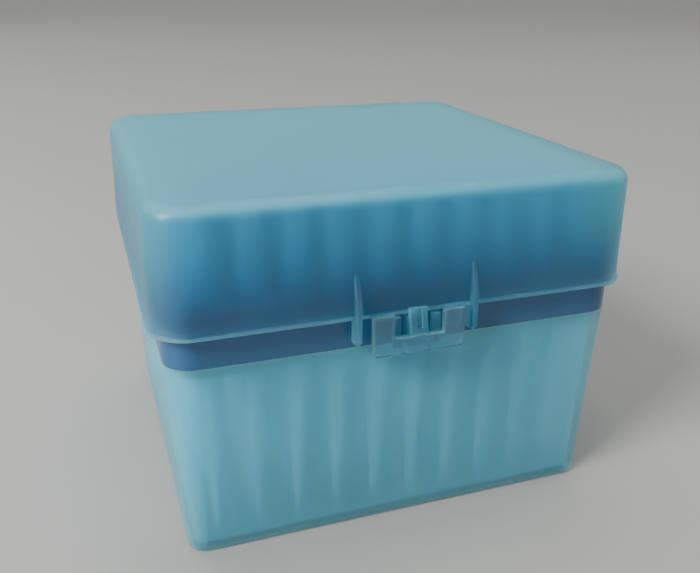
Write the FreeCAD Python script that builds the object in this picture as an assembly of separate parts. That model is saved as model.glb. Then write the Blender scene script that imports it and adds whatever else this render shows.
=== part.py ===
"""Hinged-lid box of ten by ten pipette tips, in millimetres.

The origin is at the centre of the base's underside, +Z is up and the latch is on the -Y side.
A tub-shaped base carries a perforated tray, and the tray carries the tips by their collars.
The lid covers the tips, turns on two hinges at the back and is held by a latch at the front.
"""

import math
import os

import FreeCAD
import Part

Vector = FreeCAD.Vector

# Tip grid
COLUMNS = 10
ROWS = 10
PITCH = 9.0

# One tip, heights measured from its open end (top) downwards
TIP_LENGTH = 71.0
TIP_RIM_RADIUS = 4.15
TIP_RIM_HEIGHT = 2.0
TIP_HEAD_HEIGHT = 16.4
TIP_HEAD_TOP_RADIUS = 3.8
TIP_HEAD_FOOT_RADIUS = 3.6
TIP_SHANK_RADIUS = 3.15
TIP_WAIST_DROP = 40.0
TIP_WAIST_RADIUS = 2.45
TIP_NOSE_LENGTH = 5.0
TIP_NOSE_RADIUS = 1.1
TIP_END_RADIUS = 0.8
TIP_WALL = 0.55
TIP_MOUTH_RADIUS = 3.45
TIP_SOCKET_FOOT_RADIUS = 3.0
TIP_SOCKET_DEPTH = 13.5
TIP_ORIFICE_RADIUS = 0.4
TIP_RIB_COUNT = 8
TIP_RIB_WIDTH = 0.9
TIP_RIB_OUTER_RADIUS = 4.05

# Tray
EDGE_X = 9.3
EDGE_Y = 7.6
TRAY_CORNER_RADIUS = 6.0
TRAY_HEIGHT = 12.8
TRAY_DECK = 1.8
TRAY_WALL = 1.6
TRAY_SHOULDER_RADIUS = 1.8
HOLE_CLEARANCE = 0.2
HOLE_OVERRUN = 0.9
TRAY_RIB_WIDTH = 1.0
TRAY_RIB_DEPTH = 3.0
TRAY_FOOT_HEIGHT = 2.5
LIP_DEPTH = 3.0
LIP_WALL = 1.2
LIP_CLEARANCE = 0.4

# Base
BASE_HEIGHT = 45.0
BASE_DRAFT = 2.1
BASE_WALL = 1.6
BASE_FLOOR = 1.8
BASE_EDGE_RADIUS = 1.6

# Lid
LID_RIM_HEIGHT = 52.0
LID_GAP = 0.5
LID_WALL = 1.5
LID_TOP_CLEARANCE = 1.4
LID_DRAFT = 0.45
LID_EDGE_RADIUS = 3.0
BEAD_HEIGHT = 0.8
BEAD_PROUD = 0.4

# Guard fins on the lid, one each side of the latch
FIN_SPACING = 25.2
FIN_THICKNESS = 1.2
FIN_RISE = 9.6
FIN_FULL_RISE = 3.0
FIN_DROP = 5.2
FIN_PROUD = 2.0
FIN_TOE = 0.8
FIN_CLEARANCE = 0.7
FIN_EDGE_RADIUS = 0.35

# Latch
LATCH_WIDTH = 19.8
LATCH_ARM_WIDTH = 4.5
LATCH_THICKNESS = 1.5
LATCH_PROUD = 2.3
LATCH_LENGTH = 8.7
LATCH_BAR_HEIGHT = 3.7
LATCH_CORNER_RADIUS = 0.9
LATCH_EDGE_RADIUS = 0.3
LATCH_SHELF = 1.3
FILM_THICKNESS = 0.5
FILM_LENGTH = 0.6
FILM_CLEARANCE = 0.05
FILM_ABOVE_RIM = 0.5

# Catch on the base
CATCH_WIDTH = 3.8
CATCH_CLEARANCE = 0.35
CATCH_PRONG = 1.8
CATCH_SLOT = 1.5
CATCH_TAB_THICKNESS = 1.2
CATCH_ROOT_DEPTH = 5.0
CATCH_PRONG_ROOT_DEPTH = 3.2
CATCH_BELOW_RIM = 0.6
CATCH_BEHIND_BAR = 0.3
CATCH_NOSE_BITE = 1.3
CATCH_NOSE_GAP = 0.15
CATCH_NOSE_LAND = 0.9
CATCH_TOP_RISE = 1.4
CATCH_TOP_THICKNESS = 0.9
CATCH_EDGE_RADIUS = 0.25
CATCH_GROOVE_WIDTH = 1.2
CATCH_GROOVE_DEPTH = 0.45
CATCH_GROOVE_FOOT = 0.3

# Rear hinges
HINGE_SPACING = 54.0
HINGE_OFFSET = 2.8
HINGE_BELOW_RIM = 3.5
HINGE_PIN_RADIUS = 1.3
HINGE_PIN_CLEARANCE = 0.05
HINGE_PIN_LENGTH = 3.8
KNUCKLE_RADIUS = 2.5
KNUCKLE_WIDTH = 4.0
NECK_BLEND = 35.0
NECK_INSET = 0.35
CLIP_MOUTH = 2.1
EAR_WIDTH = 9.0
EAR_CLEARANCE = 0.35
EAR_TOP = 1.9
EAR_BACK = 2.3
EAR_ROOT_DEPTH = 8.0
LEDGE_START = 3.0
LEDGE_END = 4.7
LEDGE_THICKNESS = 1.2
LID_OPENING = 110.0
LID_STOP_GAP = 0.08

# Points nearer to each other than this are one point
SAME_PLACE = 0.0001

# Places that follow from the sizes above
TRAY_HALF_X = (COLUMNS - 1) * PITCH / 2 + EDGE_X
TRAY_HALF_Y = (ROWS - 1) * PITCH / 2 + EDGE_Y
DECK_TOP = BASE_HEIGHT + TRAY_HEIGHT
TIP_TOP = DECK_TOP + TIP_HEAD_HEIGHT
LID_CEILING = TIP_TOP + LID_TOP_CLEARANCE
LID_TOP = LID_CEILING + LID_WALL
LID_HALF_X = TRAY_HALF_X + LID_GAP + LID_WALL
LID_HALF_Y = TRAY_HALF_Y + LID_GAP + LID_WALL
LID_CORNER_RADIUS = TRAY_CORNER_RADIUS + LID_GAP + LID_WALL
BEAD_FRONT = -(LID_HALF_Y + BEAD_PROUD)
LATCH_AXIS_Y = BEAD_FRONT - FILM_CLEARANCE - FILM_THICKNESS / 2
LATCH_AXIS_Z = LID_RIM_HEIGHT + FILM_ABOVE_RIM
LATCH_TOP = LATCH_AXIS_Z + FILM_THICKNESS / 2
LATCH_FRONT = BEAD_FRONT - LATCH_PROUD
LATCH_BACK = LATCH_FRONT + LATCH_THICKNESS
LATCH_FOOT = LATCH_TOP - LATCH_LENGTH
BAR_TOP = LATCH_FOOT + LATCH_BAR_HEIGHT
HINGE_Y = TRAY_HALF_Y + HINGE_OFFSET
HINGE_Z = LID_RIM_HEIGHT - HINGE_BELOW_RIM


def point(y, z):
    """A point in the plane x = 0, where side profiles are drawn."""
    return Vector(0, y, z)


def rounded_rectangle(half_x, half_y, radius, z):
    """Closed wire of a rectangle with round corners, level at height z."""
    edges = []
    inner_x = half_x - radius
    inner_y = half_y - radius
    corners = [(inner_x, inner_y), (-inner_x, inner_y), (-inner_x, -inner_y), (inner_x, -inner_y)]

    def on_corner(index, degrees):
        x, y = corners[index]
        turn = math.radians(degrees)
        return Vector(x + radius * math.cos(turn), y + radius * math.sin(turn), z)

    for index in range(4):
        start = 90 * index
        arc = Part.Arc(on_corner(index, start), on_corner(index, start + 45), on_corner(index, start + 90))
        edges.append(arc.toShape())
        following = (index + 1) % 4
        edges.append(Part.makeLine(on_corner(index, start + 90), on_corner(following, start + 90)))
    return Part.Wire(edges)


def drafted_block(half_x, half_y, radius, low, high, inset=0.0):
    """Solid block with round corners that narrows by inset on each side from low to high."""
    foot = rounded_rectangle(half_x, half_y, radius, low)
    head = rounded_rectangle(half_x - inset, half_y - inset, radius - inset, high)
    return Part.makeLoft([foot, head], True, True)


def side_profile(points, x_low, x_high):
    """Solid drawn as (y, z) points and drawn out from x_low to x_high."""
    path = [Vector(x_low, y, z) for y, z in points]
    face = Part.Face(Part.makePolygon(path + path[:1]))
    return face.extrude(Vector(x_high - x_low, 0, 0))


def round_bar(radius, x_low, x_high, y, z):
    """Solid round bar along X."""
    return Part.makeCylinder(radius, x_high - x_low, Vector(x_low, y, z), Vector(1, 0, 0))


def edges_at_height(shape, z):
    """The edges of a shape that lie wholly at height z."""
    found = []
    for edge in shape.Edges:
        box = edge.BoundBox
        if abs(box.ZMin - z) < SAME_PLACE and abs(box.ZMax - z) < SAME_PLACE:
            found.append(edge)
    return found


def side_edges(shape, start, end):
    """The edges, on both sides of a side profile's solid, of the stretch from start to end."""
    found = []
    for edge in shape.Edges:
        ends = [point(vertex.Y, vertex.Z) for vertex in edge.Vertexes]
        if all(any(spot.isEqual(one, SAME_PLACE) for spot in ends) for one in (start, end)):
            found.append(edge)
    return found


def fuse(first, others):
    """One solid from a solid and the pieces moulded onto it."""
    joined = first.fuse(others).removeSplitter()
    if len(joined.Solids) != 1:
        raise ValueError("the pieces don't join into one solid")
    return joined.Solids[0]


def base_inset(z):
    """How far the base's outer faces stand inside the tray's at height z."""
    return BASE_DRAFT * (1 - z / BASE_HEIGHT)


def make_groove(slope_foot, slope_head):
    """Cutter for the shallow groove down the post's sloping face, open at the top."""
    along = (slope_head - slope_foot).normalize()
    inward = point(along.z, -along.y) * CATCH_GROOVE_DEPTH
    foot = slope_foot + along * CATCH_GROOVE_FOOT
    head = slope_head + along * CATCH_GROOVE_DEPTH
    corners = [foot - inward, head - inward, head + inward, foot + inward]
    profile = [(corner.y, corner.z) for corner in corners]
    return side_profile(profile, -CATCH_GROOVE_WIDTH / 2, CATCH_GROOVE_WIDTH / 2)


def make_catch():
    """Centre post with a nose over the latch's bar, and a prong each side of it."""
    tab_back = -(TRAY_HALF_Y + CATCH_CLEARANCE)
    tab_top = LID_RIM_HEIGHT - CATCH_BELOW_RIM
    post_front = LATCH_BACK + CATCH_BEHIND_BAR
    prong_back = post_front + CATCH_TAB_THICKNESS
    root_y = -(TRAY_HALF_Y - BASE_WALL / 2)
    root_z = BASE_HEIGHT - CATCH_ROOT_DEPTH
    prong_profile = [
        (root_y, BASE_HEIGHT - CATCH_PRONG_ROOT_DEPTH),
        (post_front, BASE_HEIGHT - CATCH_TAB_THICKNESS),
        (post_front, tab_top),
        (prong_back, tab_top),
        (prong_back, BASE_HEIGHT),
        (root_y, BASE_HEIGHT),
    ]
    prong_start = CATCH_WIDTH / 2 + CATCH_SLOT
    prong_end = prong_start + CATCH_PRONG
    pieces = [
        side_profile(prong_profile, prong_start, prong_end),
        side_profile(prong_profile, -prong_end, -prong_start),
    ]

    # The nose's underside is an arc about the latch's hinge, so the bar swings out beneath it
    bar_reach = math.hypot(LATCH_BACK - LATCH_AXIS_Y, LATCH_AXIS_Z - BAR_TOP)
    nose_reach = bar_reach - CATCH_NOSE_GAP
    nose_front = LATCH_BACK - CATCH_NOSE_BITE

    def under_nose(y):
        drop = math.sqrt(nose_reach**2 - (y - LATCH_AXIS_Y) ** 2)
        return point(y, LATCH_AXIS_Z - drop)

    inner = under_nose(post_front)
    middle = under_nose((post_front + nose_front) / 2)
    outer = under_nose(nose_front)
    top = LID_RIM_HEIGHT + CATCH_TOP_RISE
    top_back = BEAD_FRONT - CATCH_BEHIND_BAR
    corners = [
        outer,
        point(nose_front, outer.z + CATCH_NOSE_LAND),
        point(top_back - CATCH_TOP_THICKNESS, top),
        point(top_back, top),
        point(top_back, tab_top),
        point(tab_back, tab_top),
        point(tab_back, BASE_HEIGHT),
        point(root_y, BASE_HEIGHT),
        point(root_y, root_z),
        point(post_front, BASE_HEIGHT - CATCH_TAB_THICKNESS),
        inner,
    ]
    edges = [Part.Arc(inner, middle, outer).toShape()]
    for start, end in zip(corners, corners[1:]):
        edges.append(Part.makeLine(start, end))
    post = Part.Face(Part.Wire(edges)).extrude(Vector(CATCH_WIDTH, 0, 0))
    post.translate(Vector(-CATCH_WIDTH / 2, 0, 0))
    slope_foot = corners[1]
    slope_head = corners[2]
    post = post.makeFillet(CATCH_EDGE_RADIUS, side_edges(post, slope_foot, slope_head))
    pieces.append(post.cut(make_groove(slope_foot, slope_head)))
    return pieces


def make_hinge_ear(x):
    """Ear behind the base with a pin stub on each side and a ledge that stops the open lid."""
    turn = math.radians(LID_OPENING)
    along = Vector(0, math.sin(turn), math.cos(turn))
    across = Vector(0, math.cos(turn), -math.sin(turn))
    bead_offset = HINGE_Y - (LID_HALF_Y + BEAD_PROUD)
    axis = point(HINGE_Y, HINGE_Z)
    ledge_start = axis + along * LEDGE_START - across * (bead_offset - LID_STOP_GAP)
    ledge_end = axis + along * LEDGE_END - across * (bead_offset - LID_STOP_GAP)
    root_y = TRAY_HALF_Y - BASE_WALL / 2
    front = TRAY_HALF_Y + EAR_CLEARANCE
    profile = [
        (root_y, BASE_HEIGHT - EAR_ROOT_DEPTH),
        (root_y, BASE_HEIGHT),
        (front, BASE_HEIGHT),
        (front, HINGE_Z + EAR_TOP),
        (HINGE_Y + EAR_BACK, HINGE_Z + EAR_TOP),
        (ledge_start.y, ledge_start.z),
        (ledge_end.y, ledge_end.z),
        (ledge_end.y, ledge_end.z - LEDGE_THICKNESS),
    ]
    ear = side_profile(profile, x - EAR_WIDTH / 2, x + EAR_WIDTH / 2)
    reach = EAR_WIDTH / 2 + HINGE_PIN_LENGTH
    return [ear, round_bar(HINGE_PIN_RADIUS, x - reach, x + reach, HINGE_Y, HINGE_Z)]


def make_base():
    """Tub with the catch at the front and the hinge ears at the back."""
    foot_half_x = TRAY_HALF_X - BASE_DRAFT
    foot_half_y = TRAY_HALF_Y - BASE_DRAFT
    foot_radius = TRAY_CORNER_RADIUS - BASE_DRAFT
    outside = drafted_block(foot_half_x, foot_half_y, foot_radius, 0, BASE_HEIGHT, -BASE_DRAFT)
    outside = outside.makeFillet(BASE_EDGE_RADIUS, edges_at_height(outside, 0))

    floor_inset = BASE_WALL + base_inset(BASE_FLOOR)
    inside = drafted_block(
        TRAY_HALF_X - floor_inset,
        TRAY_HALF_Y - floor_inset,
        TRAY_CORNER_RADIUS - floor_inset,
        BASE_FLOOR,
        BASE_HEIGHT,
        BASE_WALL - floor_inset,
    )
    tub = outside.cut(inside)
    fittings = make_catch()
    for x in (-HINGE_SPACING / 2, HINGE_SPACING / 2):
        fittings += make_hinge_ear(x)
    return fuse(tub, fittings)


def tip_places():
    """The centre of every tip in plan, row by row from the front."""
    for row in range(ROWS):
        y = (row - (ROWS - 1) / 2) * PITCH
        yield row, [((column - (COLUMNS - 1) / 2) * PITCH, y) for column in range(COLUMNS)]


def make_tray():
    """Perforated deck on a skirt that stands on the base's rim, with a lip inside the rim."""
    outside = drafted_block(TRAY_HALF_X, TRAY_HALF_Y, TRAY_CORNER_RADIUS, BASE_HEIGHT, DECK_TOP)
    outside = outside.makeFillet(TRAY_SHOULDER_RADIUS, edges_at_height(outside, DECK_TOP))
    lip_inset = BASE_WALL + LIP_CLEARANCE
    lip_foot = BASE_HEIGHT - LIP_DEPTH
    lip = drafted_block(
        TRAY_HALF_X - lip_inset,
        TRAY_HALF_Y - lip_inset,
        TRAY_CORNER_RADIUS - lip_inset,
        lip_foot,
        BASE_HEIGHT,
    )
    body = fuse(outside, [lip])

    foot_inset = lip_inset + LIP_WALL
    foot_top = BASE_HEIGHT + TRAY_FOOT_HEIGHT
    lower_room = drafted_block(
        TRAY_HALF_X - foot_inset,
        TRAY_HALF_Y - foot_inset,
        TRAY_CORNER_RADIUS - foot_inset,
        lip_foot,
        foot_top,
    )
    deck_bottom = DECK_TOP - TRAY_DECK
    upper_room = drafted_block(
        TRAY_HALF_X - TRAY_WALL,
        TRAY_HALF_Y - TRAY_WALL,
        TRAY_CORNER_RADIUS - TRAY_WALL,
        foot_top,
        deck_bottom,
    )
    body = body.cut([lower_room, upper_room])

    ribs = []
    rib_bottom = deck_bottom - TRAY_RIB_DEPTH
    reach_x = TRAY_HALF_X - TRAY_WALL / 2
    reach_y = TRAY_HALF_Y - TRAY_WALL / 2
    rib_height = TRAY_RIB_DEPTH + TRAY_DECK / 2
    for index in range(COLUMNS - 1):
        x = (index - (COLUMNS - 2) / 2) * PITCH
        corner = Vector(x - TRAY_RIB_WIDTH / 2, -reach_y, rib_bottom)
        ribs.append(Part.makeBox(TRAY_RIB_WIDTH, 2 * reach_y, rib_height, corner))
    for index in range(ROWS - 1):
        y = (index - (ROWS - 2) / 2) * PITCH
        corner = Vector(-reach_x, y - TRAY_RIB_WIDTH / 2, rib_bottom)
        ribs.append(Part.makeBox(2 * reach_x, TRAY_RIB_WIDTH, rib_height, corner))
    body = fuse(body, ribs)

    holes = []
    hole_radius = TIP_SHANK_RADIUS + HOLE_CLEARANCE
    for _row, places in tip_places():
        for x, y in places:
            foot = Vector(x, y, deck_bottom - HOLE_OVERRUN)
            holes.append(Part.makeCylinder(hole_radius, TRAY_DECK + 2 * HOLE_OVERRUN, foot))
    return body.cut(holes).Solids[0]


def make_tip():
    """Hollow tip on the Z axis with its open end at the top and its collar's foot on the deck."""
    end = TIP_TOP - TIP_LENGTH
    nose = end + TIP_NOSE_LENGTH
    waist = TIP_TOP - TIP_WAIST_DROP
    head_foot = TIP_TOP - TIP_HEAD_HEIGHT
    rim_foot = TIP_TOP - TIP_RIM_HEIGHT
    socket_foot = TIP_TOP - TIP_SOCKET_DEPTH
    outline = [
        (TIP_ORIFICE_RADIUS, end),
        (TIP_END_RADIUS, end),
        (TIP_NOSE_RADIUS, nose),
        (TIP_WAIST_RADIUS, waist),
        (TIP_SHANK_RADIUS, head_foot),
        (TIP_HEAD_FOOT_RADIUS, head_foot),
        (TIP_HEAD_TOP_RADIUS, rim_foot),
        (TIP_RIM_RADIUS, rim_foot),
        (TIP_RIM_RADIUS, TIP_TOP),
        (TIP_MOUTH_RADIUS, TIP_TOP),
        (TIP_SOCKET_FOOT_RADIUS, socket_foot),
        (TIP_SHANK_RADIUS - TIP_WALL, head_foot),
        (TIP_WAIST_RADIUS - TIP_WALL, waist),
        (TIP_NOSE_RADIUS - TIP_WALL, nose),
    ]
    path = [Vector(radius, 0, z) for radius, z in outline]
    section = Part.Face(Part.makePolygon(path + path[:1]))
    body = section.revolve(Vector(0, 0, 0), Vector(0, 0, 1), 360)

    ribs = []
    rib_start = TIP_HEAD_FOOT_RADIUS - TIP_WALL / 2
    for index in range(TIP_RIB_COUNT):
        rib = Part.makeBox(
            TIP_RIB_OUTER_RADIUS - rib_start,
            TIP_RIB_WIDTH,
            rim_foot - head_foot,
            Vector(rib_start, -TIP_RIB_WIDTH / 2, head_foot),
        )
        rib.rotate(Vector(0, 0, 0), Vector(0, 0, 1), (index + 0.5) * 360 / TIP_RIB_COUNT)
        ribs.append(rib)
    return fuse(body, ribs)


def make_knuckle(x_low, x_high):
    """Round clip under the lid's back rim that snaps over a pin stub."""
    blend = math.radians(NECK_BLEND)
    neck = [
        (TRAY_HALF_Y + LID_GAP, HINGE_Z),
        (TRAY_HALF_Y + LID_GAP, LID_RIM_HEIGHT + NECK_INSET),
        (LID_HALF_Y - NECK_INSET, LID_RIM_HEIGHT + BEAD_HEIGHT),
        (LID_HALF_Y + BEAD_PROUD, LID_RIM_HEIGHT + BEAD_HEIGHT),
        (HINGE_Y + KNUCKLE_RADIUS * math.cos(blend), HINGE_Z + KNUCKLE_RADIUS * math.sin(blend)),
        (HINGE_Y, HINGE_Z),
    ]
    ring = round_bar(KNUCKLE_RADIUS, x_low, x_high, HINGE_Y, HINGE_Z)
    body = ring.fuse(side_profile(neck, x_low, x_high))
    bore = round_bar(HINGE_PIN_RADIUS + HINGE_PIN_CLEARANCE, x_low, x_high, HINGE_Y, HINGE_Z)
    mouth = Part.makeBox(
        x_high - x_low,
        CLIP_MOUTH,
        KNUCKLE_RADIUS,
        Vector(x_low, HINGE_Y - CLIP_MOUTH / 2, HINGE_Z - KNUCKLE_RADIUS),
    )
    return body.cut([bore, mouth])


def make_fin(x):
    """Tapered guard fin that starts on the lid's front wall and ends as a toe below the rim."""
    wall_middle = -(LID_HALF_Y - LID_WALL / 2)
    proud = -(LID_HALF_Y + FIN_PROUD)
    toe = LID_RIM_HEIGHT - FIN_DROP
    back = -(TRAY_HALF_Y + FIN_CLEARANCE)
    profile = [
        (wall_middle, LID_RIM_HEIGHT + FIN_RISE),
        (-(LID_HALF_Y - LID_DRAFT / 2), LID_RIM_HEIGHT + FIN_RISE),
        (proud, LID_RIM_HEIGHT + FIN_FULL_RISE),
        (proud, toe + FIN_TOE),
        (proud + FIN_TOE, toe),
        (back, toe),
        (back, LID_RIM_HEIGHT),
        (wall_middle, LID_RIM_HEIGHT),
    ]
    fin = side_profile(profile, x - FIN_THICKNESS / 2, x + FIN_THICKNESS / 2)
    outer = []
    for start, end in zip(profile[1:4], profile[2:5]):
        outer += side_edges(fin, point(*start), point(*end))
    return fin.makeFillet(FIN_EDGE_RADIUS, outer)


def make_lid():
    """Shell with a beaded rim, two guard fins at the front and the hinge clips at the back."""
    outside = drafted_block(LID_HALF_X, LID_HALF_Y, LID_CORNER_RADIUS, LID_RIM_HEIGHT, LID_TOP, LID_DRAFT)
    outside = outside.makeFillet(LID_EDGE_RADIUS, edges_at_height(outside, LID_TOP))
    inside = drafted_block(
        LID_HALF_X - LID_WALL,
        LID_HALF_Y - LID_WALL,
        LID_CORNER_RADIUS - LID_WALL,
        LID_RIM_HEIGHT,
        LID_CEILING,
        LID_DRAFT,
    )
    inside = inside.makeFillet(LID_EDGE_RADIUS - LID_WALL, edges_at_height(inside, LID_CEILING))
    bead = drafted_block(
        LID_HALF_X + BEAD_PROUD,
        LID_HALF_Y + BEAD_PROUD,
        LID_CORNER_RADIUS + BEAD_PROUD,
        LID_RIM_HEIGHT,
        LID_RIM_HEIGHT + BEAD_HEIGHT,
    )
    shell = outside.fuse(bead).cut(inside)
    fittings = [make_fin(-FIN_SPACING / 2), make_fin(FIN_SPACING / 2)]
    inner = EAR_WIDTH / 2 + EAR_CLEARANCE
    for x in (-HINGE_SPACING / 2, HINGE_SPACING / 2):
        fittings.append(make_knuckle(x + inner, x + inner + KNUCKLE_WIDTH))
        fittings.append(make_knuckle(x - inner - KNUCKLE_WIDTH, x - inner))
    return fuse(shell, fittings)


def make_latch():
    """U-shaped flap: two arms from the hinge films, and a bar that clips under the nose."""
    half = LATCH_WIDTH / 2
    plate = Part.makeBox(
        LATCH_WIDTH,
        LATCH_THICKNESS,
        LATCH_LENGTH,
        Vector(-half, LATCH_FRONT, LATCH_FOOT),
    )
    foot_corners = []
    for edge in plate.Edges:
        box = edge.BoundBox
        if box.ZMax < LATCH_FOOT + LATCH_CORNER_RADIUS and box.XLength < LATCH_CORNER_RADIUS:
            foot_corners.append(edge)
    plate = plate.makeFillet(LATCH_CORNER_RADIUS, foot_corners)
    window = Part.makeBox(
        LATCH_WIDTH - 2 * LATCH_ARM_WIDTH,
        LATCH_THICKNESS,
        LATCH_TOP - BAR_TOP,
        Vector(LATCH_ARM_WIDTH - half, LATCH_FRONT, BAR_TOP),
    )
    plate = plate.cut(window)
    shelf_back = LATCH_AXIS_Y - FILM_LENGTH
    pieces = []
    for x_low in (-half, half - LATCH_ARM_WIDTH):
        shelf = Part.makeBox(
            LATCH_ARM_WIDTH,
            shelf_back - LATCH_FRONT,
            LATCH_SHELF,
            Vector(x_low, LATCH_FRONT, LATCH_TOP - LATCH_SHELF),
        )
        film = Part.makeBox(
            LATCH_ARM_WIDTH,
            LATCH_AXIS_Y - LATCH_FRONT - LATCH_THICKNESS / 2,
            FILM_THICKNESS,
            Vector(x_low, LATCH_FRONT + LATCH_THICKNESS / 2, LATCH_TOP - FILM_THICKNESS),
        )
        root = round_bar(FILM_THICKNESS / 2, x_low, x_low + LATCH_ARM_WIDTH, LATCH_AXIS_Y, LATCH_AXIS_Z)
        pieces += [shelf, film, root]
    flap = fuse(plate, pieces)
    front = [edge for edge in flap.Edges if abs(edge.BoundBox.YMax - LATCH_FRONT) < SAME_PLACE]
    return flap.makeFillet(LATCH_EDGE_RADIUS, front).Solids[0]


def write(name, shape):
    """Checks a piece and writes it as parts/NAME.step."""
    if not shape.isValid():
        raise ValueError(name + " isn't a valid shape")
    shape.exportStep(os.path.join("parts", name + ".step"))
    print(name, "solids", len(shape.Solids), "volume", round(shape.Volume, 1), "mm3")


def main():
    os.makedirs("parts", exist_ok=True)
    write("base", make_base())
    write("tip_tray", make_tray())
    write("lid", make_lid())
    write("latch", make_latch())
    tip = make_tip()
    for row, places in tip_places():
        tips = []
        for x, y in places:
            copy = tip.copy()
            copy.translate(Vector(x, y, 0))
            tips.append(copy)
        write("tips_row_%02d" % (row + 1), Part.makeCompound(tips))
    print("lid hinge axis y z", round(HINGE_Y, 3), round(HINGE_Z, 3))
    print("latch hinge axis y z", round(LATCH_AXIS_Y, 3), round(LATCH_AXIS_Z, 3))


main()
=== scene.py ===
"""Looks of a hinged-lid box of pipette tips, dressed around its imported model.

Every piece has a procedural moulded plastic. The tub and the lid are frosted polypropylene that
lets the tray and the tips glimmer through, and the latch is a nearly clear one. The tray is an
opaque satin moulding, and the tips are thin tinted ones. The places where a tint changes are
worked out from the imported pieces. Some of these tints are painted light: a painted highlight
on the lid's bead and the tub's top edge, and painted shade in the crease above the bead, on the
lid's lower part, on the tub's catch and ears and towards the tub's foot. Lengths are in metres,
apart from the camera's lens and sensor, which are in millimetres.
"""

import math

import bpy
from mathutils import Matrix, Vector


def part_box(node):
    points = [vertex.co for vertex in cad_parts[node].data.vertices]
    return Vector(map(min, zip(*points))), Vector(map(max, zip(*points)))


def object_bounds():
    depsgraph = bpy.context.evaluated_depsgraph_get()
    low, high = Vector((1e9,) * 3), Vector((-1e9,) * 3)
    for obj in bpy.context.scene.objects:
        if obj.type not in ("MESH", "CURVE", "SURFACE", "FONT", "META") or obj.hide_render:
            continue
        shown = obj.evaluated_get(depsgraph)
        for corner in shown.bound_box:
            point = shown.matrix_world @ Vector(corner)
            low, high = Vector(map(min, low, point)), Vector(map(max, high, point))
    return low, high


bl_info = {
    "name": "Pipette Tip Box Looks",
    "version": (1, 0, 0),
    "blender": (4, 5, 0),
    "location": "View3D > Sidebar > Tip Box",
    "description": "Finishes a packed box of pipette tips with moulded plastics and a studio",
    "category": "Material",
}

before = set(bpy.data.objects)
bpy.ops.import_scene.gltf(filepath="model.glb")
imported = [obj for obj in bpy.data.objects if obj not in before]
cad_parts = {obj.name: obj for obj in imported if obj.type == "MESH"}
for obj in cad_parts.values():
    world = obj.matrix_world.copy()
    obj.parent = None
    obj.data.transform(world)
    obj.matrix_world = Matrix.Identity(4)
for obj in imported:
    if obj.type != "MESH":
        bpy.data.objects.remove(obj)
CAD_LOW, CAD_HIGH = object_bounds()

MM = 0.001
TIP_NODES = sorted(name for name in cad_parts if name.startswith("tips_row_"))
TRAY_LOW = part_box("tip_tray")[0]
TIP_LOW, TIP_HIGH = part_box(TIP_NODES[0])
LID_LOW, LID_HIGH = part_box("lid")

# How softly one tint passes into the next.
SOFT_STEP = 0.15 * MM

# Where the tub's tint changes. The tray's lip hangs inside the tub, below the tub's rim.
LIP_DEPTH = 3.0 * MM
# Painted shade: the catch and the ears above the rim are painted deeper.
RIM_HEIGHT = TRAY_LOW.z + LIP_DEPTH
# Painted highlight: the tub's top edge is painted paler over this depth below its rim.
RIM_HIGHLIGHT_DEPTH = 1.0 * MM
# Painted shade: the tub is painted darker from its foot up to this height.
FOOT_SHADE = 32.0 * MM

# Where the lid's tint changes. The drops are measured down from the lid's top.
# Painted highlight: below the bead's top the lid is painted paler.
BEAD_DROP = 24.3 * MM
# Painted shade: from the bead up to the skirt's top the lid is painted darker where the tray stands
# behind it.
SKIRT_SHADE_DROP = 5.1 * MM
BEAD_TOP = LID_HIGH.z - BEAD_DROP
SKIRT_SHADE_TOP = LID_HIGH.z - SKIRT_SHADE_DROP
# Painted shade: the crease just above the bead is painted darker over this height.
CREASE_SHADE_HEIGHT = 0.6 * MM

# How far the fins stand out from the lid's wall, and the shares of that, counted from their front
# edge, where their tint ends and the wall's starts.
FIN_PROUD = 2.0 * MM
FIN_TINT_END = 0.6
WALL_TINT_START = 0.9

# Shares of a tip's length where the tint of its shank ends and that of its head starts.
SHANK_TINT_END = 0.3
HEAD_TINT_START = 0.85

# Layers of finer and finer detail in each pattern, and the middle of a pattern's range.
CLOUD_DETAIL = 3.0
TIP_CLOUD_DETAIL = 2.0
STREAK_DETAIL = 2.0
GRAIN_DETAIL = 1.0
MIDDLE = 0.5

# How strongly the see-through plastics bend light.
PLASTIC_IOR = 1.49

# The frosted plastic: its tint's range, and what clouds, drawn marks and grain do to it.
FROSTED_DEEP = 0.88
FROSTED_PALE = 1.10
DRAWN_ALONG_Z = (1.0, 1.0, 0.06)
CLOUD_TINT = 0.6
STREAK_TINT = 0.4
CLOUD_FROSTING = 0.08
STREAK_FROSTING = 0.06
GRAIN_RELIEF = 0.7
STREAK_RELIEF = 0.3
FULLY_MILKY = 1.0
EVEN_SPREAD = (1.0, 1.0, 1.0)
FROSTED_SKIN_ROUGHNESS = 0.12

# The tray's plastic.
TRAY_DEEP = 0.85
TRAY_PALE = 1.15
TRAY_ROUGHNESS = 0.38
TRAY_CLOUD_ROUGHNESS = 0.16
TRAY_SKIN = 0.2
TRAY_SKIN_ROUGHNESS = 0.2

# The tips' plastic.
TIP_ROUGHNESS = 0.22
TIP_CLOUD_ROUGHNESS = 0.12
TIP_CLARITY = 0.35
TIP_SKIN = 0.3
TIP_SKIN_ROUGHNESS = 0.08

# The studio.
MOTTLE_SIZE = 80 * MM
MOTTLE_DEEP = 0.98
MOTTLE_PALE = 1.02
FLOOR_ROUGHNESS = 0.6
FLOOR_RINGS = 12
FLOOR_SPOKES = 64
SKY_COLOUR = (1.0, 0.99, 0.97, 1.0)
WARM_WHITE = (1.0, 0.97, 0.93)
PLAIN_WHITE = (1.0, 1.0, 1.0)
SENSOR_WIDTH = 36.0
NEAR_LIMIT = 10 * MM
AIM_FROM_MIDDLE = Vector((1.6, -7.3, 1.5)) * MM


# ---------------------------------------------------------------------------------------------
# Shader maths
# ---------------------------------------------------------------------------------------------


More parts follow.
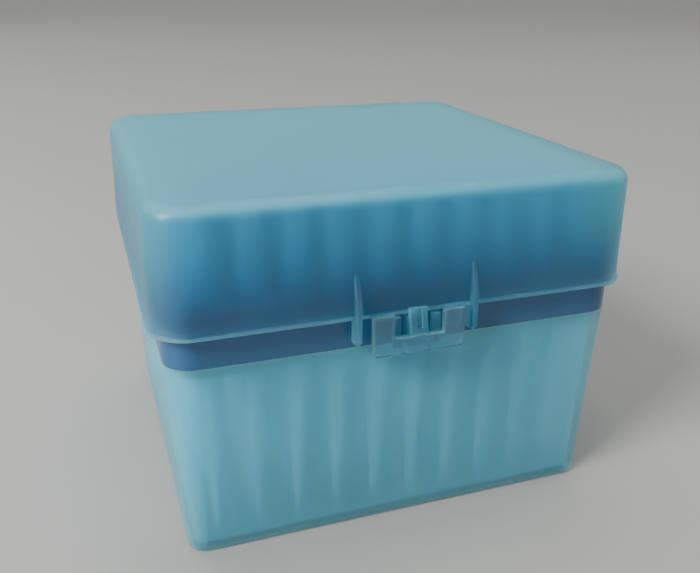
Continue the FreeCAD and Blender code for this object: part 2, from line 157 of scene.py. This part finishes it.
class Flow:
    """A node's output. Sums written with it become Math nodes."""

    def __init__(self, finish, output):
        self.finish = finish
        self.output = output

    def __add__(self, other):
        return self.finish.sum("ADD", self, other)

    def __radd__(self, other):
        return self.finish.sum("ADD", other, self)

    def __sub__(self, other):
        return self.finish.sum("SUBTRACT", self, other)

    def __rsub__(self, other):
        return self.finish.sum("SUBTRACT", other, self)

    def __mul__(self, other):
        return self.finish.sum("MULTIPLY", self, other)

    def __rmul__(self, other):
        return self.finish.sum("MULTIPLY", other, self)


class Finish:
    """The nodes of one material, made from an empty tree."""

    def __init__(self, name):
        self.material = bpy.data.materials.new(name)
        self.material.use_nodes = True
        self.tree = self.material.node_tree
        self.tree.nodes.clear()

    def node(self, kind, settings, inputs, output=0):
        """Adds a node, sets its settings and inputs, and gives back one of its outputs."""
        made = self.tree.nodes.new(kind)
        for key, value in settings.items():
            setattr(made, key, value)
        for key, value in inputs.items():
            target = self.socket(made.inputs, key)
            if isinstance(value, Flow):
                self.tree.links.new(value.output, target)
            else:
                target.default_value = value
        return Flow(self, self.socket(made.outputs, output)) if made.outputs else None

    def socket(self, sockets, key):
        """A socket by its place, its identifier or its name."""
        if isinstance(key, int):
            return sockets[key]
        for socket in sockets:
            if socket.identifier == key:
                return socket
        return sockets[key]

    def sum(self, operation, left, right):
        """One Math node on two numbers."""
        return self.node("ShaderNodeMath", {"operation": operation}, {0: left, 1: right})

    def place(self):
        """The point on the piece, in the piece's own space, in metres."""
        return self.node("ShaderNodeTexCoord", {}, {}, "Object")

    def stretched(self, factors):
        """The point with each axis scaled. A small factor draws the pattern out along its axis."""
        settings = {"operation": "MULTIPLY"}
        return self.node("ShaderNodeVectorMath", settings, {0: self.place(), 1: factors})

    def noise(self, cell, detail, at=None):
        """Cloudy noise from 0 to 1 with patches about one cell wide."""
        inputs = {"Vector": at or self.place(), "Scale": 1 / cell, "Detail": detail}
        return self.node("ShaderNodeTexNoise", {}, inputs, "Fac")

    def band(self, value, low, high):
        """0 below low, 1 above high and a smooth step between."""
        settings = {"interpolation_type": "SMOOTHSTEP"}
        inputs = {"Value": value, "From Min": low, "From Max": high}
        return self.node("ShaderNodeMapRange", settings, inputs, "Result")

    def blend(self, factor, low, high):
        """The colour low where factor is 0 and high where it is 1."""
        inputs = {"Factor_Float": factor, "A_Color": low, "B_Color": high}
        return self.node("ShaderNodeMix", {"data_type": "RGBA"}, inputs, "Result_Color")

    def along(self, axis):
        """How far the point lies along X, Y or Z."""
        return self.node("ShaderNodeSeparateXYZ", {}, {"Vector": self.place()}, axis)

    def bump(self, height, depth):
        """A normal that lets height, from 0 to 1, stand out by depth."""
        return self.node("ShaderNodeBump", {}, {"Height": height, "Distance": depth}, "Normal")

    def plastic(self, inputs):
        """One principled shader."""
        return self.node("ShaderNodeBsdfPrincipled", {}, inputs, "BSDF")

    def done(self, shader):
        """Sends a shader to the surface and gives back the material."""
        self.node("ShaderNodeOutputMaterial", {}, {"Surface": shader})
        return self.material


def opaque(colour):
    """A colour property's three numbers with an alpha of 1."""
    return (*colour, 1.0)


def shade(colour, factor):
    """A colour made lighter or darker by one factor."""
    return tuple(min(1.0, channel * factor) for channel in colour)


# ---------------------------------------------------------------------------------------------
# Materials
# ---------------------------------------------------------------------------------------------


def frosted_plastic(finish, tint, sizes, clarity, roughness, opacity, accents=()):
    """Frosted moulded wall: milky and clear by shares, with clouds, drawn marks and grain.

    Accents are pairs of a share and a tint, laid over the wall: painted highlights, painted shade
    and the fins' deeper tint. Each lies over the ones before it.
    """
    clouds = finish.noise(sizes.cloud_size, CLOUD_DETAIL)
    drawn = finish.noise(sizes.streak_width, STREAK_DETAIL, finish.stretched(DRAWN_ALONG_Z))
    grain = finish.noise(sizes.grain_size, GRAIN_DETAIL)
    deep = opaque(shade(tint, FROSTED_DEEP))
    pale = opaque(shade(tint, FROSTED_PALE))
    colour = finish.blend(clouds * CLOUD_TINT + drawn * STREAK_TINT, deep, pale)
    for amount, accent in accents:
        colour = finish.blend(amount, colour, opaque(accent))
    uneven = roughness + (clouds - MIDDLE) * CLOUD_FROSTING
    uneven = uneven + (drawn - MIDDLE) * STREAK_FROSTING
    relief = finish.bump(grain * GRAIN_RELIEF + drawn * STREAK_RELIEF, sizes.grain_depth)
    shader = finish.plastic(
        {
            "Base Color": colour,
            "Roughness": uneven,
            "IOR": PLASTIC_IOR,
            "Transmission Weight": clarity,
            "Subsurface Weight": FULLY_MILKY,
            "Subsurface Radius": EVEN_SPREAD,
            "Subsurface Scale": sizes.milk_depth,
            "Alpha": opacity,
            "Specular IOR Level": sizes.shine,
            "Coat Weight": sizes.gloss,
            "Coat Roughness": FROSTED_SKIN_ROUGHNESS,
            "Normal": relief,
        }
    )
    return finish.done(shader)


def tray_plastic(tint, sizes):
    """Opaque satin moulding with a fine even grain, and faint clouds in its tint and its satin."""
    finish = Finish("tray_polypropylene")
    clouds = finish.noise(sizes.cloud_size, CLOUD_DETAIL)
    grain = finish.noise(sizes.grain_size, GRAIN_DETAIL)
    colour = finish.blend(clouds, opaque(shade(tint, TRAY_DEEP)), opaque(shade(tint, TRAY_PALE)))
    relief = finish.bump(grain, sizes.grain_depth)
    shader = finish.plastic(
        {
            "Base Color": colour,
            "Roughness": TRAY_ROUGHNESS + (clouds - MIDDLE) * TRAY_CLOUD_ROUGHNESS,
            "Coat Weight": TRAY_SKIN,
            "Coat Roughness": TRAY_SKIN_ROUGHNESS,
            "Normal": relief,
        }
    )
    return finish.done(shader)


def tip_plastic(tint, shank_tint, sizes):
    """Thin tinted moulding that lets some light through, paler towards the drawn-out end."""
    finish = Finish("tip_polypropylene")
    length = TIP_HIGH.z - TIP_LOW.z
    shank_end = TIP_LOW.z + SHANK_TINT_END * length
    head_start = TIP_LOW.z + HEAD_TINT_START * length
    rise = finish.band(finish.along("Z"), shank_end, head_start)
    clouds = finish.noise(sizes.cloud_size, TIP_CLOUD_DETAIL)
    colour = finish.blend(rise, opaque(shank_tint), opaque(tint))
    shader = finish.plastic(
        {
            "Base Color": colour,
            "Roughness": TIP_ROUGHNESS + clouds * TIP_CLOUD_ROUGHNESS,
            "IOR": PLASTIC_IOR,
            "Transmission Weight": TIP_CLARITY,
            "Coat Weight": TIP_SKIN,
            "Coat Roughness": TIP_SKIN_ROUGHNESS,
        }
    )
    return finish.done(shader)


def floor_paint(studio):
    """Matt studio floor with a barely visible mottle, paler up the wall, where less light falls."""
    finish = Finish("studio_floor")
    mottle = finish.noise(MOTTLE_SIZE, CLOUD_DETAIL)
    up_wall = finish.band(finish.along("Z"), 0.0, studio.wall_height)
    deep = opaque(shade(studio.floor_tint, MOTTLE_DEEP))
    pale = opaque(shade(studio.floor_tint, MOTTLE_PALE))
    colour = finish.blend(mottle, deep, pale)
    colour = finish.blend(up_wall, colour, opaque(studio.wall_tint))
    return finish.done(finish.plastic({"Base Color": colour, "Roughness": FLOOR_ROUGHNESS}))


# ---------------------------------------------------------------------------------------------
# Settings that a user would change
# ---------------------------------------------------------------------------------------------


def size(name, description, default):
    return bpy.props.FloatProperty(
        name=name, description=description, default=default, min=0.0, unit="LENGTH"
    )


def angle(name, description, degrees):
    return bpy.props.FloatProperty(
        name=name, description=description, default=math.radians(degrees), subtype="ANGLE"
    )


def tint(name, description, default):
    return bpy.props.FloatVectorProperty(
        name=name,
        description=description,
        default=default,
        size=3,
        min=0.0,
        max=1.0,
        subtype="COLOR",
    )


def share(name, description, default):
    return bpy.props.FloatProperty(
        name=name, description=description, default=default, min=0.0, max=1.0, subtype="FACTOR"
    )


def spot(name, description, default):
    return bpy.props.FloatVectorProperty(
        name=name, description=description, default=default, size=3, subtype="TRANSLATION"
    )


def power(name, description, default):
    return bpy.props.FloatProperty(
        name=name, description=description, default=default, min=0.0, unit="POWER"
    )


class TipBoxPlastics(bpy.types.PropertyGroup):
    """Colours and surface sizes of the moulded pieces."""

    base_tint: tint("Base", "Tint of the frosted tub", (0.16, 0.70, 0.90))
    lid_tint: tint("Lid", "Tint of the frosted lid", (0.10, 0.70, 0.85))
    latch_tint: tint("Latch", "Tint of the clear latch", (0.30, 0.74, 0.90))
    # Painted highlight: the paler tint laid on the lid's bead and the tub's top edge.
    painted_highlight_tint: tint("Edges", "Tint of the bead and the rim, which gather light", (0.34, 0.86, 1.0))
    # Painted shade in the lid's crease and lower part, and the fins' own deeper tint.
    painted_shade_and_fin_tint: tint("Depths", "Tint of the lid's low part, crease and fins", (0.006, 0.14, 0.45))
    # Painted shade on the tub's catch, ears and foot.
    tub_painted_shade_tint: tint("Fittings", "Tint of the catch, the ears and the foot", (0.05, 0.20, 0.32))
    # Strengths of the painted highlight on the bead and the tub's rim, of the fins' deeper tint, and of
    # the painted shade in the crease, towards the foot, on the lid's lower part and on the catch and
    # ears.
    bead_painted_highlight: share("Bead glow", "How much the lid's bead gathers light", 0.6)
    fin_depth: share("Fin depth", "How deep the tint of the fins is", 0.3)
    rim_painted_highlight: share("Rim glow", "How much the tub's top edge gathers light", 0.6)
    crease_painted_shade: share("Crease depth", "How dark the crease above the bead is", 0.8)
    foot_painted_shade: share("Foot depth", "How dark the tub gets towards its foot", 0.2)
    skirt_painted_shade: share("Skirt depth", "How dark the lid is where the tray stands behind it", 0.65)
    fitting_painted_shade: share("Fitting depth", "How deep the tint of the catch and the ears is", 0.7)
    tray_tint: tint("Tray", "Colour of the opaque tray", (0.010, 0.074, 0.170))
    tip_tint: tint("Tips", "Tint of the tips", (0.01, 0.42, 0.70))
    shank_tint: tint("Tip shanks", "Tint of the tips' thin drawn-out ends", (0.30, 0.72, 0.90))
    base_clarity: share("Base clarity", "Share of light that goes through the tub", 0.6)
    lid_clarity: share("Lid clarity", "Share of light that goes through the lid", 0.94)
    latch_clarity: share("Latch clarity", "Share of light that goes through the latch", 0.95)
    base_roughness: share("Base frosting", "How much the tub blurs", 0.52)
    lid_roughness: share("Lid frosting", "How much the lid blurs", 0.62)
    latch_roughness: share("Latch frosting", "How much the latch blurs", 0.14)
    base_opacity: share("Base opacity", "Share of light that the tub's surface catches", 0.56)
    lid_opacity: share("Lid opacity", "Share of light that the lid's surface catches", 0.80)
    latch_opacity: share("Latch opacity", "Share of light that the latch's surface catches", 0.9)
    milk_depth: size("Milk depth", "How far light spreads in the milky plastic", 1.0 * MM)
    gloss: share("Gloss", "Weight of the smooth skin on the frosted plastics", 0.15)
    shine: share("Shine", "Strength of the frosted plastics' own reflections", 0.25)
    grain_size: size("Grain size", "Width of one speck of the spark-eroded grain", 0.45 * MM)
    grain_depth: size("Grain depth", "Depth of the grain", 0.012 * MM)
    cloud_size: size("Cloud size", "Width of the faint clouds in the plastic", 24 * MM)
    streak_width: size("Streak width", "Width of the marks drawn down the walls", 1.6 * MM)


class TipBoxStudio(bpy.types.PropertyGroup):
    """Camera, lights and floor."""

    heading: angle("Heading", "Turn of the camera from straight ahead", 19.55)
    dip: angle("Dip", "How far the camera looks down", 22.21)
    roll: angle("Roll", "Lean of the camera", 0.61)
    distance: size("Distance", "From the camera to the point that it looks at", 0.2)
    lens: bpy.props.FloatProperty(
        name="Lens", description="Focal length", default=40.1, min=1.0, unit="CAMERA"
    )
    floor_tint: tint("Floor", "Colour of the floor", (0.22, 0.226, 0.22))
    wall_tint: tint("Wall", "Colour of the top of the round wall", (0.80, 0.81, 0.79))
    floor_radius: size("Floor radius", "Radius of the floor's level part", 2.6)
    wall_height: size("Wall height", "Height of the round wall around the floor", 1.4)
    key_place: spot("Key light place", "Centre of the light left of the box", (-0.86, -0.35, 0.78))
    key_width: size("Key light width", "Side of the light left of the box", 0.45)
    key_power: power("Key light", "Power of the light left of the box", 34.0)
    top_place: spot("Top light place", "Centre of the light above the box", (0.29, 2.18, 8.00))
    top_width: size("Top light width", "Side of the light above the box", 5.80)
    top_power: power("Top light", "Power of the light above the box", 620.0)
    fill_place: spot("Fill light place", "Centre of the light in front of the box", (0.15, -1.10, 0.65))
    fill_width: size("Fill light width", "Side of the lights in front, right and behind", 0.80)
    fill_power: power("Fill light", "Power of the light in front of the box", 1.5)
    side_place: spot("Side light place", "Centre of the light right of the box", (1.40, 0.30, 0.90))
    side_power: power("Side light", "Power of the light right of the box", 6.0)
    rear_place: spot("Rear light place", "Centre of the light behind the box", (-0.70, 1.30, 0.90))
    rear_power: power("Rear light", "Power of the light behind the box", 6.0)
    sky: share("Sky", "Brightness of the even light all round", 0.18)


# ---------------------------------------------------------------------------------------------
# Pieces
# ---------------------------------------------------------------------------------------------


def finish_node(name, material):
    """Gives a carried-over piece its material."""
    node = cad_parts[name]
    if not node.material_slots:
        node.data.materials.append(material)
    for material_slot in node.material_slots:
        material_slot.material = material


def dish(radius, height, rings, spokes):
    """Vertices and faces of a level disc whose rim curves up into a round wall."""
    profile = [(radius * ring / rings, 0.0) for ring in range(1, rings + 1)]
    for step in range(1, rings + 1):
        turn = math.pi / 2 * step / rings
        profile.append((radius + height * math.sin(turn), height * (1 - math.cos(turn))))
    points = [(0.0, 0.0, 0.0)]
    for reach, rise in profile:
        for spoke in range(spokes):
            turn = 2 * math.pi * spoke / spokes
            points.append((reach * math.cos(turn), reach * math.sin(turn), rise))
    faces = []
    for spoke in range(spokes):
        following = (spoke + 1) % spokes
        faces.append((0, 1 + spoke, 1 + following))
        for ring in range(len(profile) - 1):
            inner = 1 + ring * spokes
            outer = inner + spokes
            faces.append((inner + spoke, outer + spoke, outer + following, inner + following))
    return points, faces


def add_mesh(name, points, faces, material):
    """A smooth mesh object in the scene."""
    mesh = bpy.data.meshes.new(name)
    mesh.from_pydata(points, [], faces)
    mesh.shade_smooth()
    mesh.materials.append(material)
    made = bpy.data.objects.new(name, mesh)
    bpy.context.scene.collection.objects.link(made)
    return made


def aimed(place, target):
    """The matrix of a light or camera at place that looks at target with its top up."""
    back = (place - target).normalized()
    right = Vector((0, 0, 1)).cross(back).normalized()
    up = back.cross(right)
    turn = Matrix((right, up, back)).transposed()
    return Matrix.Translation(place) @ turn.to_4x4()


def add_light(name, place, target, width, watts, colour):
    """A square soft light."""
    light = bpy.data.lights.new(name, "AREA")
    light.shape = "SQUARE"
    light.size = width
    light.energy = watts
    light.color = colour
    made = bpy.data.objects.new(name, light)
    bpy.context.scene.collection.objects.link(made)
    made.matrix_world = aimed(Vector(place), Vector(target))


# ---------------------------------------------------------------------------------------------
# Operators
# ---------------------------------------------------------------------------------------------


class TIPBOX_OT_base(bpy.types.Operator):
    """Finish the frosted tub"""

    bl_idname = "tipbox.base"
    bl_label = "Base"

    def execute(self, context):
        plastics = context.scene.tipbox_plastics
        finish = Finish("base_polypropylene")
        rise = finish.along("Z")
        # Painted shade on the catch and the ears above the rim.
        fittings = finish.band(rise, RIM_HEIGHT, RIM_HEIGHT + SOFT_STEP)
        # Painted highlight along the tub's top edge.
        rim = finish.band(rise, RIM_HEIGHT - RIM_HIGHLIGHT_DEPTH, RIM_HEIGHT - SOFT_STEP) - fittings
        # Painted shade: the tub is painted darker towards its foot.
        foot = 1 - finish.band(rise, 0.0, FOOT_SHADE)
        painted_highlight_share = rim * plastics.rim_painted_highlight
        # Painted shade on the catch, the ears and towards the foot.
        deep = fittings * plastics.fitting_painted_shade + foot * plastics.foot_painted_shade
        material = frosted_plastic(
            finish,
            plastics.base_tint,
            plastics,
            plastics.base_clarity,
            plastics.base_roughness,
            plastics.base_opacity,
            ((painted_highlight_share, plastics.painted_highlight_tint), (deep, plastics.tub_painted_shade_tint)),
        )
        finish_node("base", material)
        return {"FINISHED"}


class TIPBOX_OT_tray(bpy.types.Operator):
    """Finish the opaque tray"""

    bl_idname = "tipbox.tray"
    bl_label = "Tray"

    def execute(self, context):
        plastics = context.scene.tipbox_plastics
        finish_node("tip_tray", tray_plastic(plastics.tray_tint, plastics))
        return {"FINISHED"}


class TIPBOX_OT_tips(bpy.types.Operator):
    """Finish the ten rows of tips"""

    bl_idname = "tipbox.tips"
    bl_label = "Tips"

    def execute(self, context):
        plastics = context.scene.tipbox_plastics
        material = tip_plastic(plastics.tip_tint, plastics.shank_tint, plastics)
        for name in TIP_NODES:
            finish_node(name, material)
        return {"FINISHED"}


class TIPBOX_OT_lid(bpy.types.Operator):
    """Finish the frosted lid"""

    bl_idname = "tipbox.lid"
    bl_label = "Lid"

    def execute(self, context):
        plastics = context.scene.tipbox_plastics
        finish = Finish("lid_polypropylene")
        rise = finish.along("Z")
        fin_end = LID_LOW.y + FIN_TINT_END * FIN_PROUD
        wall_start = LID_LOW.y + WALL_TINT_START * FIN_PROUD
        fins = 1 - finish.band(finish.along("Y"), fin_end, wall_start)
        wall = 1 - fins
        above_bead = finish.band(rise, BEAD_TOP - SOFT_STEP, BEAD_TOP + SOFT_STEP)
        # Painted shade in the crease just above the bead.
        crease = above_bead - finish.band(rise, BEAD_TOP + SOFT_STEP, BEAD_TOP + CREASE_SHADE_HEIGHT)
        # Painted shade on the lid's lower part, where the tray stands behind it.
        painted_skirt_shade = above_bead * (1 - finish.band(rise, BEAD_TOP, SKIRT_SHADE_TOP)) * (1 - crease) * wall
        # Painted highlight on the bead, below the bead's top.
        painted_highlight_share = (1 - above_bead) * wall * plastics.bead_painted_highlight
        # Painted shade in the crease and the lower part, plus the fins' own deeper tint.
        deep = crease * wall * plastics.crease_painted_shade + painted_skirt_shade * plastics.skirt_painted_shade
        deep = deep + fins * plastics.fin_depth
        material = frosted_plastic(
            finish,
            plastics.lid_tint,
            plastics,
            plastics.lid_clarity,
            plastics.lid_roughness,
            plastics.lid_opacity,
            ((painted_highlight_share, plastics.painted_highlight_tint), (deep, plastics.painted_shade_and_fin_tint)),
        )
        finish_node("lid", material)
        return {"FINISHED"}


class TIPBOX_OT_latch(bpy.types.Operator):
    """Finish the clear latch flap"""

    bl_idname = "tipbox.latch"
    bl_label = "Latch"

    def execute(self, context):
        plastics = context.scene.tipbox_plastics
        material = frosted_plastic(
            Finish("latch_polypropylene"),
            plastics.latch_tint,
            plastics,
            plastics.latch_clarity,
            plastics.latch_roughness,
            plastics.latch_opacity,
        )
        finish_node("latch", material)
        return {"FINISHED"}


class TIPBOX_OT_studio(bpy.types.Operator):
    """Set the floor, lights and camera around the box"""

    bl_idname = "tipbox.studio"
    bl_label = "Studio"

    def execute(self, context):
        studio = context.scene.tipbox_studio
        middle = (CAD_LOW + CAD_HIGH) / 2

        points, faces = dish(studio.floor_radius, studio.wall_height, FLOOR_RINGS, FLOOR_SPOKES)
        floor = add_mesh("studio_floor", points, faces, floor_paint(studio))

        world = bpy.data.worlds.new("even_light")
        world.use_nodes = True
        background = world.node_tree.nodes["Background"]
        background.inputs["Color"].default_value = SKY_COLOUR
        background.inputs["Strength"].default_value = studio.sky
        context.scene.world = world

        lights = (
            ("key", studio.key_place, studio.key_width, studio.key_power, WARM_WHITE),
            ("top", studio.top_place, studio.top_width, studio.top_power, WARM_WHITE),
            ("fill", studio.fill_place, studio.fill_width, studio.fill_power, PLAIN_WHITE),
            ("side", studio.side_place, studio.fill_width, studio.side_power, PLAIN_WHITE),
            ("rear", studio.rear_place, studio.fill_width, studio.rear_power, PLAIN_WHITE),
        )
        for name, place, width, watts, colour in lights:
            add_light(name, place, middle, width, watts, colour)

        aim = middle + AIM_FROM_MIDDLE
        level = math.cos(studio.dip)
        ahead = math.cos(studio.heading) * level
        aside = math.sin(studio.heading) * level
        forward = Vector((aside, ahead, -math.sin(studio.dip)))
        data = bpy.data.cameras.new("camera")
        data.sensor_width = SENSOR_WIDTH
        data.lens = studio.lens
        data.clip_start = NEAR_LIMIT
        camera = bpy.data.objects.new("camera", data)
        context.scene.collection.objects.link(camera)
        placed = aimed(aim - forward * studio.distance, aim)
        camera.matrix_world = placed @ Matrix.Rotation(studio.roll, 4, "Z")
        context.scene.camera = camera
        return {"FINISHED"}


STEPS = (
    TIPBOX_OT_base,
    TIPBOX_OT_tray,
    TIPBOX_OT_tips,
    TIPBOX_OT_lid,
    TIPBOX_OT_latch,
    TIPBOX_OT_studio,
)


class TIPBOX_PT_panel(bpy.types.Panel):
    """Buttons and settings of the tip box"""

    bl_idname = "TIPBOX_PT_panel"
    bl_label = "Tip Box"
    bl_space_type = "VIEW_3D"
    bl_region_type = "UI"
    bl_category = "Tip Box"

    def draw(self, context):
        for step in STEPS:
            self.layout.operator(step.bl_idname)
        for settings in (context.scene.tipbox_plastics, context.scene.tipbox_studio):
            box = self.layout.box()
            for name in settings.__annotations__:
                box.prop(settings, name)


CLASSES = (TipBoxPlastics, TipBoxStudio, *STEPS, TIPBOX_PT_panel)


def register():
    for one in CLASSES:
        bpy.utils.register_class(one)
    bpy.types.Scene.tipbox_plastics = bpy.props.PointerProperty(type=TipBoxPlastics)
    bpy.types.Scene.tipbox_studio = bpy.props.PointerProperty(type=TipBoxStudio)


def unregister():
    del bpy.types.Scene.tipbox_studio
    del bpy.types.Scene.tipbox_plastics
    for one in reversed(CLASSES):
        bpy.utils.unregister_class(one)


def main():
    """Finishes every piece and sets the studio."""
    register()
    bpy.ops.tipbox.base()
    bpy.ops.tipbox.tray()
    bpy.ops.tipbox.tips()
    bpy.ops.tipbox.lid()
    bpy.ops.tipbox.latch()
    bpy.ops.tipbox.studio()


if __name__ == "__main__":
    main()
